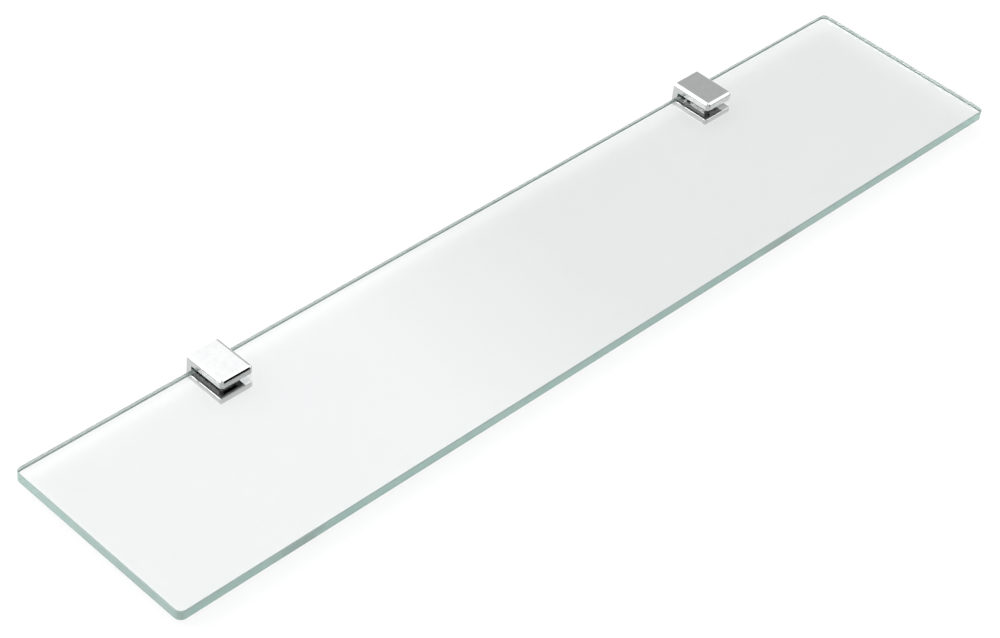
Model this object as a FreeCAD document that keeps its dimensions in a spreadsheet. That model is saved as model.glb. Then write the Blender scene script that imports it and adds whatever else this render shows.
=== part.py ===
import FreeCAD, Part
import os

import Sketcher

# A glass wall shelf that two clamp brackets hold by its back edge.
#
# Frame, in millimetres: +X runs along the shelf to the right as one faces the wall, +Y points into the
# wall and +Z up. The origin is on the wall, midway between the brackets and level with their screw holes.
#
# Each bracket is a C open to the front. The glass lies in its slot between an upper pad and a lower pad.
# The lower pad is bonded to a steel plate, which a set screw in the lower jaw presses up.

SIZES = [
    # the glass
    ("glass_length", 600),
    ("glass_depth", 120),
    ("glass_thick", 6),
    ("glass_corner_round", 4),
    ("glass_arris", 0.5),
    # where the brackets stand, from each end of the glass to the middle of its bracket
    ("bracket_inset", 120),
    # the C of the bracket
    ("bracket_width", 21),
    ("jaw_reach", 22.5),
    ("web_thick", 3.5),
    ("upper_jaw_thick", 4.7),
    ("lower_jaw_thick", 3.4),
    ("upper_corner_round", 2.3),
    ("upper_edge_round", 2),
    ("lower_corner_round", 1),
    ("lower_edge_round", 0.7),
    ("lip_round", 0.6),
    # the countersunk hole for the wall screw
    ("wall_hole_radius", 2),
    ("wall_head_radius", 3.6),
    # the soft pads
    ("upper_pad_thick", 0.5),
    ("upper_pad_inset", 0.7),
    ("lower_pad_thick", 1.5),
    ("lower_pad_inset", 0.3),
    ("pad_corner_round", 1),
    # the buffers that keep the back edge of the glass off the bracket
    ("glass_gap", 1),
    ("buffer_radius", 2),
    ("buffer_offset", 6.5),
    # the plate under the lower pad and the recess that it sinks into
    ("plate_thick", 1.5),
    ("plate_proud", 1),
    ("recess_wall", 5),
    ("plate_clearance", 0.2),
    ("clamp_travel", 0.7),
    ("recess_spare", 0.1),
    # the set screw, with its point on the plate and its socket facing down
    ("screw_radius", 1.95),
    ("screw_clearance", 0.05),
    ("screw_length", 2.5),
    ("thread_pitch", 0.7),
    ("thread_depth", 0.4),
    ("hole_chamfer", 0.3),
    ("socket_across_flats", 2),
    ("socket_depth", 1.4),
]

NEAR = 1e-4  # how far apart two coordinates may lie and still count as the same

# Heights, from the middle of the slot, which is level with the wall screw.
HALF_SLOT = "(sizes.upper_pad_thick + sizes.glass_thick + sizes.lower_pad_thick + sizes.plate_proud) / 2"
BRACKET_TOP = f"({HALF_SLOT} + sizes.upper_jaw_thick)"
SLOT_TOP = f"({HALF_SLOT})"
GLASS_TOP = f"({HALF_SLOT} - sizes.upper_pad_thick)"
GLASS_BOTTOM = f"({GLASS_TOP} - sizes.glass_thick)"
PLATE_TOP = f"({GLASS_BOTTOM} - sizes.lower_pad_thick)"
PLATE_BOTTOM = f"({PLATE_TOP} - sizes.plate_thick)"
SLOT_BOTTOM = f"(-{HALF_SLOT})"
RECESS_DEPTH = "(sizes.plate_thick - sizes.plate_proud + sizes.clamp_travel + sizes.recess_spare)"
BRACKET_BOTTOM = f"(-({HALF_SLOT} + sizes.lower_jaw_thick))"

# Depths, from the wall.
WEB_FRONT = "(-sizes.web_thick)"
BRACKET_FRONT = "(-(sizes.web_thick + sizes.jaw_reach))"
GLASS_BACK = "(-(sizes.web_thick + sizes.glass_gap))"
GLASS_FRONT = f"({GLASS_BACK} - sizes.glass_depth)"
SCREW_PLACE = "(-(sizes.web_thick + sizes.jaw_reach / 2))"

# Along the shelf.
HALF_WIDTH = "(sizes.bracket_width / 2)"
BRACKET_PLACE = "(sizes.glass_length / 2 - sizes.bracket_inset)"

doc = FreeCAD.newDocument("glass_shelf")
pieces = []


def make_sheet():
    """The spreadsheet of driving sizes."""
    sheet = doc.addObject("Spreadsheet::Sheet", "sizes")
    for row, (alias, value) in enumerate(SIZES, start=1):
        sheet.set(f"A{row}", alias)
        sheet.set(f"B{row}", str(value))
        sheet.setAlias(f"B{row}", alias)
    doc.recompute()
    return sheet


sheet = make_sheet()


def size(alias):
    """A driving size as a number."""
    return float(sheet.get(alias))


def half_slot():
    """Half the height of the slot as a number, for finding edges by their place."""
    return (size("upper_pad_thick") + size("glass_thick") + size("lower_pad_thick") + size("plate_proud")) / 2


def new_piece(label, **place):
    """A body of its own, moved by the given formulas for x, y and z."""
    body = doc.addObject("PartDesign::Body", label)
    body.Label = label
    for axis, formula in place.items():
        body.setExpression(f"Placement.Base.{axis}", formula)
    pieces.append(body)
    return body


def origin_part(body, role):
    """The body's own origin plane or axis with this role."""
    return next(part for part in body.Origin.OriginFeatures if part.Role == role)


def new_sketch(body, name, role, offset=None):
    """A sketch on one of the body's origin planes, moved along the plane's normal by a formula."""
    sketch = body.newObject("Sketcher::SketchObject", name)
    sketch.AttachmentSupport = [(origin_part(body, role), "")]
    sketch.MapMode = "FlatFace"
    if offset:
        sketch.setExpression("AttachmentOffset.Base.z", offset)
    return sketch


def hold(sketch, kind, first, second, formula, start):
    """A distance or radius constraint that follows a formula."""
    if second is None:
        index = sketch.addConstraint(Sketcher.Constraint(kind, *first, start))
    else:
        index = sketch.addConstraint(Sketcher.Constraint(kind, *first, *second, start))
    name = f"{kind}_{index}"
    sketch.renameConstraint(index, name)
    sketch.setExpression(f"Constraints.{name}", formula)


def draw_polygon(sketch, corners):
    """A closed outline of straight lines through corners given as pairs of formulas."""
    count = len(corners)
    start = [FreeCAD.Vector(1 + index, 1 + index * index, 0) for index in range(count)]
    for index in range(count):
        sketch.addGeometry(Part.LineSegment(start[index], start[(index + 1) % count]), False)
    for index in range(count):
        after = (index + 1) % count
        sketch.addConstraint(Sketcher.Constraint("Coincident", index, 2, after, 1))
    for index, (across, up) in enumerate(corners):
        hold(sketch, "DistanceX", (-1, 1), (index, 1), across, start[index].x)
        hold(sketch, "DistanceY", (-1, 1), (index, 1), up, start[index].y)


def draw_rectangle(sketch, left, right, low, high):
    """A rectangle between four formulas."""
    draw_polygon(sketch, [(left, low), (right, low), (right, high), (left, high)])


def draw_circle(sketch, across, up, radius):
    """A circle with its centre and radius given by formulas."""
    circle = Part.Circle(FreeCAD.Vector(1, 1, 0), FreeCAD.Vector(0, 0, 1), 1)
    index = sketch.addGeometry(circle, False)
    hold(sketch, "DistanceX", (-1, 1), (index, 3), across, 1)
    hold(sketch, "DistanceY", (-1, 1), (index, 3), up, 1)
    hold(sketch, "Radius", (index,), None, radius, 1)


def pad(body, name, sketch, length, both_ways=False):
    """The sketch drawn out along its normal, or as much to each side of it."""
    feature = body.newObject("PartDesign::Pad", name)
    feature.Profile = sketch
    feature.setExpression("Length", length)
    feature.SideType = "Symmetric" if both_ways else "One side"
    sketch.Visibility = False
    doc.recompute()
    return feature


def cut_down(body, name, sketch, depth, upwards=False):
    """A pocket below the sketch, or above it, which has to take material away."""
    before = body.Shape.Volume
    feature = body.newObject("PartDesign::Pocket", name)
    feature.Profile = sketch
    feature.setExpression("Length", depth)
    feature.Reversed = upwards
    doc.recompute()
    if not body.Shape.Volume < before - NEAR:
        raise ValueError(f"{body.Label}: {name} cuts nothing")
    return feature


def cut_round(body, name, sketch, axis_role):
    """A groove turned once round one of the body's origin axes, which has to take material away."""
    before = body.Shape.Volume
    feature = body.newObject("PartDesign::Groove", name)
    feature.Profile = sketch
    feature.ReferenceAxis = (origin_part(body, axis_role), [""])
    feature.Angle = 360
    doc.recompute()
    if not body.Shape.Volume < before - NEAR:
        raise ValueError(f"{body.Label}: {name} cuts nothing")
    return feature


def edges_where(body, test):
    """The names of the body's edges whose bounding box and edge pass the test."""
    found = [
        f"Edge{index}"
        for index, edge in enumerate(body.Shape.Edges, start=1)
        if test(edge.BoundBox, edge)
    ]
    if not found:
        raise ValueError(f"{body.Label}: no edge is there to round")
    return found


def soften(body, kind, name, test, formula):
    """A fillet or chamfer on the edges that pass the test, before the body's Placement is applied."""
    base = body.Tip
    names = edges_where(base, test)
    feature = body.newObject(f"PartDesign::{kind}", name)
    feature.Base = (base, names)
    feature.setExpression("Radius" if kind == "Fillet" else "Size", formula)
    doc.recompute()
    return feature


def same(first, second):
    return abs(first - second) < NEAR


def flat_at(box, height):
    """True for an edge that lies level at this height."""
    return same(box.ZMin, height) and same(box.ZMax, height)


def upright(box):
    return box.XLength < NEAR and box.YLength < NEAR and box.ZLength > NEAR


def make_glass():
    """The sheet of toughened glass, with rounded corners and a polished arris along every edge."""
    body = new_piece("glass_shelf")
    outline = new_sketch(body, "glass_outline", "XY_Plane", GLASS_BOTTOM)
    half = "sizes.glass_length / 2"
    draw_rectangle(outline, f"-({half})", half, GLASS_FRONT, GLASS_BACK)
    pad(body, "glass_sheet", outline, "sizes.glass_thick")
    soften(body, "Fillet", "glass_corners", lambda box, edge: upright(box), "sizes.glass_corner_round")
    soften(body, "Chamfer", "glass_arrises", lambda box, edge: box.ZLength < NEAR, "sizes.glass_arris")


def make_bracket(side, place):
    """The cast C with its wall-screw hole, the recess for the plate and the tapped hole under it."""
    body = new_piece(f"{side}_bracket", x=place)
    profile = new_sketch(body, f"{side}_bracket_profile", "YZ_Plane")
    draw_polygon(
        profile,
        [
            ("0", BRACKET_BOTTOM),
            ("0", BRACKET_TOP),
            (BRACKET_FRONT, BRACKET_TOP),
            (BRACKET_FRONT, SLOT_TOP),
            (WEB_FRONT, SLOT_TOP),
            (WEB_FRONT, SLOT_BOTTOM),
            (BRACKET_FRONT, SLOT_BOTTOM),
            (BRACKET_FRONT, BRACKET_BOTTOM),
        ],
    )
    pad(body, f"{side}_bracket_block", profile, "sizes.bracket_width", both_ways=True)

    front = -(size("web_thick") + size("jaw_reach"))
    top = half_slot() + size("upper_jaw_thick")
    bottom = -(half_slot() + size("lower_jaw_thick"))

    def outside(box):
        """True for an edge along the front or a side of the block, and not for one across it."""
        return same(box.YMin, front) or box.XLength < NEAR

    soften(
        body,
        "Fillet",
        f"{side}_upper_corners",
        lambda box, edge: upright(box) and same(box.YMin, front) and box.ZMin > 0,
        "sizes.upper_corner_round",
    )
    soften(
        body,
        "Fillet",
        f"{side}_lower_corners",
        lambda box, edge: upright(box) and same(box.YMin, front) and box.ZMax < 0,
        "sizes.lower_corner_round",
    )
    soften(
        body,
        "Fillet",
        f"{side}_top_edges",
        lambda box, edge: flat_at(box, top) and outside(box),
        "sizes.upper_edge_round",
    )
    soften(
        body,
        "Fillet",
        f"{side}_bottom_edges",
        lambda box, edge: flat_at(box, bottom) and outside(box),
        "sizes.lower_edge_round",
    )
    soften(
        body,
        "Fillet",
        f"{side}_lips",
        lambda box, edge: (flat_at(box, half_slot()) or flat_at(box, -half_slot())) and outside(box),
        "sizes.lip_round",
    )

    hole = new_sketch(body, f"{side}_wall_hole_profile", "YZ_Plane")
    sink = "(sizes.wall_head_radius - sizes.wall_hole_radius)"
    draw_polygon(
        hole,
        [
            ("0", "0"),
            ("0", "sizes.wall_hole_radius"),
            (f"{WEB_FRONT} + {sink}", "sizes.wall_hole_radius"),
            (WEB_FRONT, "sizes.wall_head_radius"),
            (WEB_FRONT, "0"),
        ],
    )
    cut_round(body, f"{side}_wall_hole", hole, "Y_Axis")

    recess = new_sketch(body, f"{side}_recess_outline", "XY_Plane", SLOT_BOTTOM)
    recess_side = f"({HALF_WIDTH} - sizes.recess_wall)"
    draw_rectangle(
        recess,
        f"-{recess_side}",
        recess_side,
        f"{BRACKET_FRONT} + sizes.recess_wall",
        f"{WEB_FRONT} - sizes.recess_wall",
    )
    cut_down(body, f"{side}_recess", recess, RECESS_DEPTH)

    tapped = new_sketch(body, f"{side}_screw_hole_circle", "XY_Plane", SLOT_BOTTOM)
    draw_circle(tapped, "0", SCREW_PLACE, "sizes.screw_radius + sizes.screw_clearance")
    cut_down(body, f"{side}_screw_hole", tapped, "sizes.lower_jaw_thick")
    soften(
        body,
        "Chamfer",
        f"{side}_screw_hole_mouth",
        lambda box, edge: flat_at(box, bottom) and edge.isClosed(),
        "sizes.hole_chamfer",
    )


def make_pad_block(label, place, half_across, front, back, low, thick):
    """A flat piece with rounded upright corners, such as a pad or the plate."""
    body = new_piece(label, x=place)
    outline = new_sketch(body, f"{label}_outline", "XY_Plane", low)
    draw_rectangle(outline, f"-{half_across}", half_across, front, back)
    pad(body, f"{label}_block", outline, thick)
    soften(body, "Fillet", f"{label}_corners", lambda box, edge: upright(box), "sizes.pad_corner_round")


def make_upper_pad(side, place):
    """The soft pad bonded under the upper jaw."""
    make_pad_block(
        f"{side}_upper_pad",
        place,
        f"({HALF_WIDTH} - sizes.upper_pad_inset)",
        f"{BRACKET_FRONT} + sizes.upper_pad_inset",
        f"{WEB_FRONT} - sizes.upper_pad_inset",
        GLASS_TOP,
        "sizes.upper_pad_thick",
    )


def make_plate_and_lower_pad(side, place):
    """The steel plate in its recess, and the soft pad bonded on it."""
    edge = "(sizes.recess_wall + sizes.plate_clearance)"
    make_pad_block(
        f"{side}_pressure_plate",
        place,
        f"({HALF_WIDTH} - {edge})",
        f"{BRACKET_FRONT} + {edge}",
        f"{WEB_FRONT} - {edge}",
        PLATE_BOTTOM,
        "sizes.plate_thick",
    )
    edge = "(sizes.recess_wall + sizes.plate_clearance + sizes.lower_pad_inset)"
    make_pad_block(
        f"{side}_lower_pad",
        place,
        f"({HALF_WIDTH} - {edge})",
        f"{BRACKET_FRONT} + {edge}",
        f"{WEB_FRONT} - {edge}",
        PLATE_TOP,
        "sizes.lower_pad_thick",
    )


def make_buffers(side, place):
    """The two soft discs on the bracket's web, one each side of the wall screw's head."""
    body = new_piece(f"{side}_rear_buffers", x=place)
    circles = new_sketch(body, f"{side}_buffer_circles", "XZ_Plane", "sizes.web_thick")
    draw_circle(circles, "-sizes.buffer_offset", "0", "sizes.buffer_radius")
    draw_circle(circles, "sizes.buffer_offset", "0", "sizes.buffer_radius")
    pad(body, f"{side}_buffer_discs", circles, "sizes.glass_gap")


def make_set_screw(side, place):
    """The set screw: a turned body with thread ridges, and a hexagon socket in its lower end."""
    body = new_piece(f"{side}_set_screw", x=place, y=SCREW_PLACE, z=PLATE_BOTTOM)
    turned = new_sketch(body, f"{side}_screw_profile", "XZ_Plane")
    ridges = int(size("screw_length") // size("thread_pitch"))
    land = f"((sizes.screw_length - {ridges} * sizes.thread_pitch) / 2)"
    root = "(sizes.screw_radius - sizes.thread_depth)"
    corners = [("0", "0"), (root, "0")]
    for ridge in range(ridges):
        for turn, radius in ((0, root), (0.5, "sizes.screw_radius")):
            corners.append((radius, f"-({land} + {ridge + turn} * sizes.thread_pitch)"))
    corners.append((root, f"-({land} + {ridges} * sizes.thread_pitch)"))
    corners += [(root, "-sizes.screw_length"), ("0", "-sizes.screw_length")]
    draw_polygon(turned, corners)
    shank = body.newObject("PartDesign::Revolution", f"{side}_screw_shank")
    shank.Profile = turned
    shank.ReferenceAxis = (origin_part(body, "Z_Axis"), [""])
    shank.Angle = 360
    doc.recompute()

    hexagon = new_sketch(body, f"{side}_socket_hexagon", "XY_Plane", "-sizes.screw_length")
    flat = "(sizes.socket_across_flats / 2)"
    point = "(sizes.socket_across_flats / sqrt(3))"
    draw_polygon(
        hexagon,
        [
            (point, "0"),
            (f"{point} / 2", flat),
            (f"-{point} / 2", flat),
            (f"-{point}", "0"),
            (f"-{point} / 2", f"-{flat}"),
            (f"{point} / 2", f"-{flat}"),
        ],
    )
    cut_down(body, f"{side}_socket", hexagon, "sizes.socket_depth", upwards=True)


def check_model():
    """Stop if any object failed to build, or any piece has no valid solid."""
    doc.recompute()
    for thing in doc.Objects:
        if "Invalid" in thing.State or "Error" in thing.State:
            raise ValueError(f"{thing.Label} failed: {thing.State}")
    for body in pieces:
        if body.Shape.isNull() or not body.Shape.isValid() or not body.Shape.Solids:
            raise ValueError(f"{body.Label} has no valid solid")


make_glass()
for side, place in (("left", f"-{BRACKET_PLACE}"), ("right", BRACKET_PLACE)):
    make_bracket(side, place)
    make_upper_pad(side, place)
    make_buffers(side, place)
    make_plate_and_lower_pad(side, place)
    make_set_screw(side, place)
check_model()

os.makedirs("parts", exist_ok=True)
for body in pieces:
    body.Shape.exportStep(f"parts/{body.Label}.step")
    print(body.Label, len(body.Shape.Solids), round(body.Shape.Volume, 3), body.Shape.BoundBox)
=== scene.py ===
"""Glass wall shelf held by two small chrome clamp brackets, finished for rendering."""

import math

import bpy
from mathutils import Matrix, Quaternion, Vector


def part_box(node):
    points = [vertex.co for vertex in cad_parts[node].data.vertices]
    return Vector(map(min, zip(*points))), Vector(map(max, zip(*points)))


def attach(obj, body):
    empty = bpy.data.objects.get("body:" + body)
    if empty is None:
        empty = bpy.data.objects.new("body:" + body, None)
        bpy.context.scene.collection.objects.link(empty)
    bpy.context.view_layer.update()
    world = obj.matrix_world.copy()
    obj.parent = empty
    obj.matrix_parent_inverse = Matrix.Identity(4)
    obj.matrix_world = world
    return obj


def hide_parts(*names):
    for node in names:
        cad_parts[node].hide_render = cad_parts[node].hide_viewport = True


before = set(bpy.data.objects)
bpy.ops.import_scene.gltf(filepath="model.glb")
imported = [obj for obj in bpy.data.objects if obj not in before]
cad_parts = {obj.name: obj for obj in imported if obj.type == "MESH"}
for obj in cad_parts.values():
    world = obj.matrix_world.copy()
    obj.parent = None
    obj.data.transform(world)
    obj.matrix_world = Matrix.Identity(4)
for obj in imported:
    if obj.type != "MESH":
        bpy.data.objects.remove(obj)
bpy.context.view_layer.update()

MM = 0.001
SIDES = ("left", "right")

# The glass, as its maker would order it.
CORNER_ROUND = 4 * MM
CORNER_STEPS = 14
ARRIS = 0.5 * MM

# The camera stands to the left, in front and above.
CAMERA_AZIMUTH = -49.81
CAMERA_ELEVATION = 41.16
CAMERA_ROLL = 6.99
CAMERA_LENS = 98.43
CAMERA_DISTANCE = 1.3929
CAMERA_AIM = Vector((-0.04616, -0.07507, 0.004))

# The floor glows a little, the same all over.
FLOOR_HALF = 4.0
FLOOR_DROP = 0.05 * MM
FLOOR_GLOW = 0.73

# How bright the studio is in each direction, where 1 is white.
SKY_LOW = 0.80
SKY_HIGH = 2.40
SKY_RISE = (0.20, 0.46)
OVERHEAD = 1.20
OVERHEAD_RISE = (0.86, 0.92)
SHADE = 0.80
SHADE_AIM = (-0.60, -0.66, 0.42)
SHADE_SIZE = (36.0, 50.0)
VEIL = 1.68
VEIL_SIZE = (29.0, 36.0)
FLAG = 0.71
FLAG_AIM = (0.80, 0.45, 0.42)
FLAG_SIZE = (17.0, 21.0)
SOFTBOX = 4.4
SOFTBOX_AIM = (-0.62, 0.52, 0.58)
SOFTBOX_SIZE = (14.0, 24.0)
CARD = 0.005
CARD_ACROSS = (0.05, 0.10, 0.575, 0.60)
CARD_UP = (-0.40, -0.36, 0.74, 0.77)
CARD_AHEAD = (-1.2, -1.1, -0.44, -0.40)

# How the glass lets light through and shines.
GLASS_IOR = 1.52
GLASS_GLOSS = 0.10
GLASS_DENSITY = 8.0
GROUND_ROUGHNESS = 0.45


# ---------------------------------------------------------------- helpers


def nothing_selected():
    """Leaves nothing selected, so that the next operator acts only on its own piece."""
    for thing in bpy.context.selected_objects:
        thing.select_set(False)


def pick_edges(piece, wanted):
    """Selects the edges of the piece in edit mode that the test wants, given their two ends."""
    bpy.ops.object.mode_set(mode="EDIT")
    bpy.ops.mesh.select_mode(type="EDGE")
    bpy.ops.mesh.select_all(action="DESELECT")
    bpy.ops.object.mode_set(mode="OBJECT")
    points = piece.data.vertices
    for edge in piece.data.edges:
        ends = [points[n].co for n in edge.vertices]
        edge.select = wanted(*ends)
    bpy.ops.object.mode_set(mode="EDIT")


def new_material(name):
    """A fresh node material, with its node tree and its main shader."""
    material = bpy.data.materials.new(name)
    material.use_nodes = True
    tree = material.node_tree
    return material, tree, tree.nodes["Principled BSDF"]


def node(tree, kind, **settings):
    """Adds a node. Settings name its properties."""
    made = tree.nodes.new("ShaderNode" + kind)
    for key, value in settings.items():
        setattr(made, key, value)
    return made


def object_place(tree, stretch=(1, 1, 1)):
    """The piece's own coordinates in metres, stretched per axis."""
    place = node(tree, "TexCoord")
    mapping = node(tree, "Mapping")
    mapping.inputs["Scale"].default_value = stretch
    tree.links.new(place.outputs["Object"], mapping.inputs["Vector"])
    return mapping.outputs["Vector"]


def noise(tree, place, scale, detail=3.0, rough=0.5):
    """A cloud pattern of the given scale, in features per metre."""
    made = node(tree, "TexNoise")
    made.inputs["Scale"].default_value = scale
    made.inputs["Detail"].default_value = detail
    made.inputs["Roughness"].default_value = rough
    tree.links.new(place, made.inputs["Vector"])
    return made.outputs["Fac"]


def spread(tree, value, low, high, start=0.3, end=0.7):
    """Takes a value's range from start to end onto the range from low to high."""
    made = node(tree, "MapRange")
    made.inputs["From Min"].default_value = start
    made.inputs["From Max"].default_value = end
    made.inputs["To Min"].default_value = low
    made.inputs["To Max"].default_value = high
    tree.links.new(value, made.inputs["Value"])
    return made.outputs["Result"]


def blend_colours(tree, amount, first, second):
    """Mixes two colours, each a colour or a socket, by an amount from 0 to 1."""
    made = node(tree, "Mix", data_type="RGBA")
    tree.links.new(amount, made.inputs[0])
    for socket, colour in ((made.inputs[6], first), (made.inputs[7], second)):
        if isinstance(colour, tuple):
            socket.default_value = (*colour, 1.0)
        else:
            tree.links.new(colour, socket)
    return made.outputs[2]


def grey(level):
    """An even grey of the given level."""
    return (level, level, level)


def bumps(tree, height, depth):
    """A surface normal from a height pattern, depth metres deep."""
    made = node(tree, "Bump")
    made.inputs["Strength"].default_value = 1.0
    made.inputs["Distance"].default_value = depth
    tree.links.new(height, made.inputs["Height"])
    return made.outputs["Normal"]


# ---------------------------------------------------------------- materials


def glass_material():
    """Clear float glass, green through its depth, with clouded edges and rougher ground arrises."""
    material, tree, shader = new_material("clear_glass")
    place = object_place(tree)
    facing = node(tree, "TexCoord")
    parts = node(tree, "SeparateXYZ")
    tree.links.new(facing.outputs["Normal"], parts.inputs["Vector"])
    flatness = node(tree, "Math", operation="ABSOLUTE")
    tree.links.new(parts.outputs["Z"], flatness.inputs[0])
    flatness = flatness.outputs[0]

    edge = spread(tree, flatness, 1.0, 0.0, 0.90, 0.97)
    arris = spread(tree, flatness, 0.0, 1.0, 0.35, 0.45)
    arris_only = node(tree, "Math", operation="MULTIPLY")
    tree.links.new(edge, arris_only.inputs[0])
    tree.links.new(arris, arris_only.inputs[1])
    arris_only = arris_only.outputs[0]

    mottle = noise(tree, object_place(tree, (1, 1, 0.4)), 110.0, 1.5, 0.5)
    edge_mix = spread(tree, mottle, 0.0, 1.0)
    edge_tone = blend_colours(tree, edge_mix, (0.45, 0.61, 0.57), (0.49, 0.63, 0.59))
    face_mix = spread(tree, noise(tree, place, 9.0), 0.0, 1.0)
    face_tone = blend_colours(tree, face_mix, (0.925, 0.934, 0.934), (0.935, 0.938, 0.933))
    tone = blend_colours(tree, edge, face_tone, edge_tone)
    tone = blend_colours(tree, arris_only, tone, (0.30, 0.38, 0.355))
    tree.links.new(tone, shader.inputs["Base Color"])

    clear = spread(tree, edge, 1.0, 0.40, 0.0, 1.0)
    frosted = spread(tree, arris_only, 0.0, 0.25, 0.0, 1.0)
    passes = node(tree, "Math", operation="SUBTRACT")
    tree.links.new(clear, passes.inputs[0])
    tree.links.new(frosted, passes.inputs[1])
    tree.links.new(passes.outputs[0], shader.inputs["Transmission Weight"])

    haze = spread(tree, noise(tree, place, 35.0, 5.0), 0.0, 0.02)
    polish = spread(tree, mottle, 0.03, 0.12)
    rough = node(tree, "Mix", data_type="FLOAT")
    tree.links.new(edge, rough.inputs[0])
    tree.links.new(haze, rough.inputs[2])
    tree.links.new(polish, rough.inputs[3])
    ground = node(tree, "Mix", data_type="FLOAT")
    tree.links.new(arris_only, ground.inputs[0])
    tree.links.new(rough.outputs[0], ground.inputs[2])
    ground.inputs[3].default_value = GROUND_ROUGHNESS
    tree.links.new(ground.outputs[0], shader.inputs["Roughness"])
    draw_lines = noise(tree, place, 14.0, 2.0)
    tree.links.new(bumps(tree, draw_lines, 0.02 * MM), shader.inputs["Normal"])
    shader.inputs["IOR"].default_value = GLASS_IOR
    shader.inputs["Specular IOR Level"].default_value = GLASS_GLOSS

    depth = node(tree, "VolumeAbsorption")
    depth.inputs["Color"].default_value = (0.30, 0.60, 0.52, 1.0)
    depth.inputs["Density"].default_value = GLASS_DENSITY
    tree.links.new(depth.outputs[0], tree.nodes["Material Output"].inputs["Volume"])
    return material


def chrome_material():
    """Bright chrome over a zinc casting: nearly a mirror, with the faint waves of the casting below."""
    material, tree, shader = new_material("bracket_chrome")
    place = object_place(tree)
    waves = noise(tree, place, 260.0, 2.0)
    grain = noise(tree, place, 2600.0, 4.0, 0.6)
    cast = spread(tree, waves, 0.0, 1.0)
    tone = blend_colours(tree, cast, (0.55, 0.556, 0.56), (0.585, 0.588, 0.59))
    tree.links.new(tone, shader.inputs["Base Color"])
    tree.links.new(spread(tree, grain, 0.035, 0.075), shader.inputs["Roughness"])
    tree.links.new(bumps(tree, waves, 0.006 * MM), shader.inputs["Normal"])
    shader.inputs["Metallic"].default_value = 1.0
    return material


def rubber_material():
    """Matt black rubber with a fine moulded grain."""
    material, tree, shader = new_material("pad_rubber")
    place = object_place(tree)
    grain = noise(tree, place, 2500.0, 5.0, 0.65)
    bloom = noise(tree, place, 220.0, 3.0)
    cloudy = spread(tree, bloom, 0.0, 1.0)
    tone = blend_colours(tree, cloudy, (0.012, 0.012, 0.013), (0.030, 0.030, 0.031))
    tree.links.new(tone, shader.inputs["Base Color"])
    tree.links.new(spread(tree, grain, 0.55, 0.85), shader.inputs["Roughness"])
    tree.links.new(bumps(tree, grain, 0.05 * MM), shader.inputs["Normal"])
    return material


def brushed_steel_material():
    """Stainless strip, brushed along its length."""
    material, tree, shader = new_material("plate_steel")
    strokes = noise(tree, object_place(tree, (1, 40, 40)), 140.0, 4.0, 0.6)
    clouds = noise(tree, object_place(tree), 300.0)
    tone = blend_colours(tree, spread(tree, clouds, 0.0, 1.0), (0.50, 0.50, 0.49), (0.60, 0.595, 0.58))
    tree.links.new(tone, shader.inputs["Base Color"])
    tree.links.new(spread(tree, strokes, 0.22, 0.42), shader.inputs["Roughness"])
    tree.links.new(bumps(tree, strokes, 0.02 * MM), shader.inputs["Normal"])
    shader.inputs["Metallic"].default_value = 1.0
    return material


def turned_steel_material():
    """Stainless screw stock with fine rolling marks."""
    material, tree, shader = new_material("screw_steel")
    rings = noise(tree, object_place(tree, (1, 1, 14)), 420.0, 4.0, 0.6)
    clouds = noise(tree, object_place(tree), 900.0)
    tone = blend_colours(tree, spread(tree, clouds, 0.0, 1.0), (0.42, 0.42, 0.41), (0.56, 0.55, 0.53))
    tree.links.new(tone, shader.inputs["Base Color"])
    tree.links.new(spread(tree, rings, 0.20, 0.38), shader.inputs["Roughness"])
    tree.links.new(bumps(tree, rings, 0.01 * MM), shader.inputs["Normal"])
    shader.inputs["Metallic"].default_value = 1.0
    return material


def finish_node(name, material):
    """Gives a CAD node its better finish."""
    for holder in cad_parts[name].material_slots:
        holder.material = material


# ---------------------------------------------------------------- pieces


def make_glass_panel(material):
    """The glass: a flat sheet, its upright corners rounded, every rim ground to a small arris."""
    low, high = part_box("glass_shelf")
    low, high = Vector(low), Vector(high)
    nothing_selected()
    bpy.ops.mesh.primitive_cube_add(size=1, location=(low + high) / 2, scale=high - low)
    panel = bpy.context.object
    panel.name = "glass_panel"
    bpy.ops.object.transform_apply(location=True, rotation=True, scale=True)
    pick_edges(panel, lambda a, b: abs(a.z - b.z) > ARRIS)
    bpy.ops.mesh.bevel(offset=CORNER_ROUND, segments=CORNER_STEPS, profile=0.5)
    pick_edges(panel, lambda a, b: abs(a.z - b.z) < ARRIS)
    bpy.ops.mesh.bevel(offset=ARRIS, segments=1)
    bpy.ops.object.mode_set(mode="OBJECT")
    bpy.ops.object.shade_smooth_by_angle(angle=math.radians(20))
    panel.data.materials.append(material)
    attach(panel, "glass")
    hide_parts("glass_shelf")
    return panel


# ---------------------------------------------------------------- studio


def make_floor():
    """A plain pale floor just under the brackets, a little self-lit, the same all over."""
    low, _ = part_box("left_bracket")
    nothing_selected()
    bpy.ops.mesh.primitive_plane_add(size=2 * FLOOR_HALF, location=(0, 0, low[2] - FLOOR_DROP))
    floor = bpy.context.object
    bpy.ops.object.transform_apply(location=True, rotation=True, scale=True)
    floor.name = "studio_floor"
    material, tree, shader = new_material("pale_floor")
    place = object_place(tree)
    tone = blend_colours(tree, noise(tree, place, 2.0), grey(0.216), grey(0.224))
    tree.links.new(tone, shader.inputs["Base Color"])
    shader.inputs["Roughness"].default_value = 0.9
    shader.inputs["Emission Color"].default_value = (1.0, 1.0, 1.0, 1.0)
    shader.inputs["Emission Strength"].default_value = FLOOR_GLOW
    shader.inputs["Specular IOR Level"].default_value = 0.0
    floor.data.materials.append(material)


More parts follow.
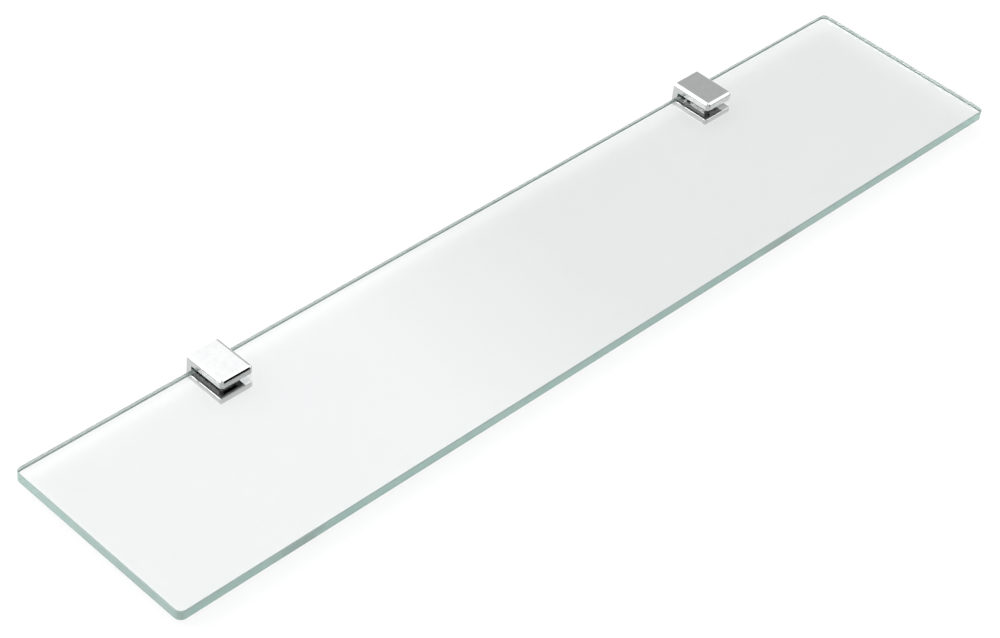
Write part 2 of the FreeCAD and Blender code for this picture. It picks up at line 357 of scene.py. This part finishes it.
def aimed_patch(tree, direction, aim, inner, outer):
    """One inside a round patch of sky about the aim, fading to nothing at its rim. Sizes in degrees."""
    toward = node(tree, "VectorMath", operation="DOT_PRODUCT")
    toward.inputs[1].default_value = Vector(aim).normalized()
    tree.links.new(direction, toward.inputs[0])
    near, far = math.cos(math.radians(inner)), math.cos(math.radians(outer))
    return spread(tree, toward.outputs["Value"], 0.0, 1.0, far, near)


def window(tree, value, start, full, fade, end, times=None):
    """One from full to fade, nothing before start or after end, times another mask if given."""
    opens = spread(tree, value, 0.0, 1.0, start, full)
    shuts = spread(tree, value, 1.0, 0.0, fade, end)
    for mask in (shuts, times):
        if mask is not None:
            both = node(tree, "Math", operation="MULTIPLY")
            tree.links.new(opens, both.inputs[0])
            tree.links.new(mask, both.inputs[1])
            opens = both.outputs[0]
    return opens


def make_studio_light():
    """A soft white studio with a softbox, a grey flag and a dark card, dimmer overhead and low down."""
    world = bpy.data.worlds.new("studio")
    bpy.context.scene.world = world
    world.use_nodes = True
    tree = world.node_tree
    backdrop = tree.nodes["Background"]
    direction = node(tree, "TexCoord").outputs["Generated"]
    parts = node(tree, "SeparateXYZ")
    tree.links.new(direction, parts.inputs["Vector"])
    height = spread(tree, parts.outputs["Z"], 0.0, 1.0, *SKY_RISE)
    light = blend_colours(tree, height, grey(SKY_LOW), grey(SKY_HIGH))
    overhead = spread(tree, parts.outputs["Z"], 0.0, 1.0, *OVERHEAD_RISE)
    light = blend_colours(tree, overhead, light, grey(OVERHEAD))
    for level, aim, size in (
        (SHADE, SHADE_AIM, SHADE_SIZE),
        (VEIL, FLAG_AIM, VEIL_SIZE),
        (FLAG, FLAG_AIM, FLAG_SIZE),
        (SOFTBOX, SOFTBOX_AIM, SOFTBOX_SIZE),
    ):
        light = blend_colours(tree, aimed_patch(tree, direction, aim, *size), light, grey(level))
    card = window(tree, parts.outputs["X"], *CARD_ACROSS)
    card = window(tree, parts.outputs["Z"], *CARD_UP, times=card)
    card = window(tree, parts.outputs["Y"], *CARD_AHEAD, times=card)
    light = blend_colours(tree, card, light, grey(CARD))
    tree.links.new(light, backdrop.inputs["Color"])
    backdrop.inputs["Strength"].default_value = 1.0


def make_camera():
    """A long lens from the front left, looking down on the shelf."""
    azimuth = math.radians(CAMERA_AZIMUTH)
    elevation = math.radians(CAMERA_ELEVATION)
    back = Vector(
        (
            math.sin(azimuth) * math.cos(elevation),
            -math.cos(azimuth) * math.cos(elevation),
            math.sin(elevation),
        )
    )
    camera = bpy.data.objects.new("camera", bpy.data.cameras.new("camera"))
    bpy.context.scene.collection.objects.link(camera)
    camera.location = CAMERA_AIM + back * CAMERA_DISTANCE
    camera.rotation_mode = "QUATERNION"
    roll = Quaternion((0, 0, 1), math.radians(CAMERA_ROLL))
    camera.rotation_quaternion = back.to_track_quat("Z", "Y") @ roll
    camera.data.sensor_width = 36.0
    camera.data.lens = CAMERA_LENS
    camera.data.clip_start = 0.05
    camera.data.clip_end = 50.0
    bpy.context.scene.camera = camera


# ---------------------------------------------------------------- assembly

glass = make_glass_panel(glass_material())
chrome = chrome_material()
rubber = rubber_material()
brushed = brushed_steel_material()
turned = turned_steel_material()
for side in SIDES:
    finish_node(side + "_bracket", chrome)
    finish_node(side + "_upper_pad", rubber)
    finish_node(side + "_lower_pad", rubber)
    finish_node(side + "_rear_buffers", rubber)
    finish_node(side + "_pressure_plate", brushed)
    finish_node(side + "_set_screw", turned)

make_floor()
make_studio_light()
make_camera()
scene = bpy.context.scene
scene.view_settings.view_transform = "Standard"
scene.cycles.max_bounces = 24
scene.cycles.glossy_bounces = 16
scene.cycles.transmission_bounces = 16
